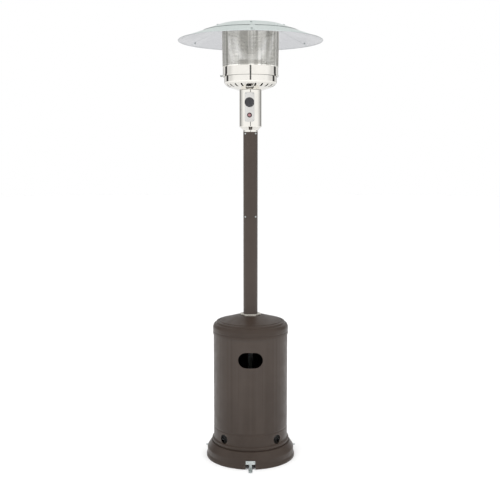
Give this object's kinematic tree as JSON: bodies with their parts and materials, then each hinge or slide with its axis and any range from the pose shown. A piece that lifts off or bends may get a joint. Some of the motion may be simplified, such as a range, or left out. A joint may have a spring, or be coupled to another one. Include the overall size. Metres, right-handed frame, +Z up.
{
  "type": "outdoor gas heater",
  "caption": "Mushroom patio heater: round base and lift-up tank housing, slim post, control housing with knob, perforated emitter drum and wide conical reflector.",
  "frame": {"origin": "on the ground, on the post's axis", "axes": "+Z up along the post; -Y is the front, where the control panel and the hand opening are; +X is to the right of someone who faces the front"},
  "size_m": [0.7234, 0.7234, 2.21],
  "materials": {
    "mocha_paint": "semi-gloss hammer-free powder coat, mocha brown",
    "stainless": "polished stainless steel",
    "collar_steel": "satin stainless steel",
    "zinc_plate": "bright zinc plate",
    "perforated_stainless": "perforated stainless steel, slightly tarnished",
    "reflector_aluminium": "bright rolled aluminium",
    "black_plastic": "fine-grained moulded phenolic",
    "maroon_plastic": "gloss moulded plastic",
    "rose_plastic": "gloss moulded plastic",
    "brass": "machined",
    "grey_casting": "grey enamel on a die casting",
    "rubber": "moulded",
    "ceramic": "glazed ceramic",
    "copper_tube": "drawn tube"
  },
  "bodies": {
    "heater": {"anchor_bracket_front": "zinc_plate", "anchor_bracket_left": "zinc_plate", "anchor_bracket_right": "zinc_plate", "anchor_screws": "zinc_plate", "base_pan": "mocha_paint", "bowl_screws": "zinc_plate", "burner_bowl": "stainless", "burner_head": "stainless", "clamp_ring": "stainless", "clamp_screw": "zinc_plate", "control_housing": "stainless", "control_panel": "stainless", "emitter_band": "stainless", "emitter_screen": "perforated_stainless", "emitter_top_plate": "stainless", "flame_deflector": "stainless", "gas_injector": "brass", "gas_supply_pipe": "copper_tube", "gas_valve": "brass", "igniter_bezel": "maroon_plastic", "igniter_body": "black_plastic", "ignition_lead": "rubber", "leg_bolts": "zinc_plate", "lower_post": "mocha_paint", "main_gas_tube": "copper_tube", "mixer_tube": "stainless", "panel_screws": "zinc_plate", "pilot_bracket": "zinc_plate", "pilot_burner": "brass", "pilot_tube": "copper_tube", "pipe_grommet": "rubber", "post_coupler": "zinc_plate", "post_flange": "zinc_plate", "post_screws": "zinc_plate", "reflector_bolts": "zinc_plate", "reflector_cap": "reflector_aluminium", "reflector_panel_left": "reflector_aluminium", "reflector_panel_rear": "reflector_aluminium", "reflector_panel_right": "reflector_aluminium", "reflector_studs": "zinc_plate", "regulator": "grey_casting", "spark_electrode": "ceramic", "stud_spacers": "zinc_plate", "support_leg_left": "zinc_plate", "support_leg_rear": "zinc_plate", "support_leg_right": "zinc_plate", "thermocouple": "copper_tube", "tilt_switch": "black_plastic", "upper_post": "mocha_paint", "valve_bracket": "zinc_plate", "wing_nuts": "zinc_plate"},
    "tank_cover": {"tank_housing": "mocha_paint", "housing_lid": "mocha_paint", "lid_collar": "collar_steel", "lid_screws": "zinc_plate"},
    "valve_plug": {"valve_plug": "brass"},
    "knob": {"knob": "black_plastic", "valve_stem": "brass"},
    "igniter_button": {"igniter_button": "rose_plastic"},
    "coupling_nut": {"coupling_nut": "black_plastic"}
  },
  "joints": [
    {"name": "cover_lift", "type": "slide", "parent": "heater", "child": "tank_cover", "axis": [0, 0, 1], "range_m": [0, 0.48]},
    {"name": "valve_turn", "type": "hinge", "parent": "heater", "child": "valve_plug", "pos_m": [-0.00246, -0.0299, 1.819], "axis": [-0.0819, -0.9966, 0], "range_deg": [0, 180]},
    {"name": "knob_press", "type": "slide", "parent": "valve_plug", "child": "knob", "axis": [0.0819, 0.9966, 0], "range_m": [0, 0.004], "stiffness_N_per_m": 800, "springref_m": -0.003},
    {"name": "igniter_press", "type": "slide", "parent": "heater", "child": "igniter_button", "axis": [0.0819, 0.9966, 0], "range_m": [0, 0.006], "stiffness_N_per_m": 1000, "springref_m": -0.003},
    {"name": "coupling_turn", "type": "hinge", "parent": "heater", "child": "coupling_nut", "pos_m": [0, -0.045, 0.596], "axis": [0, -1, 0], "continuous": true}
  ]
}
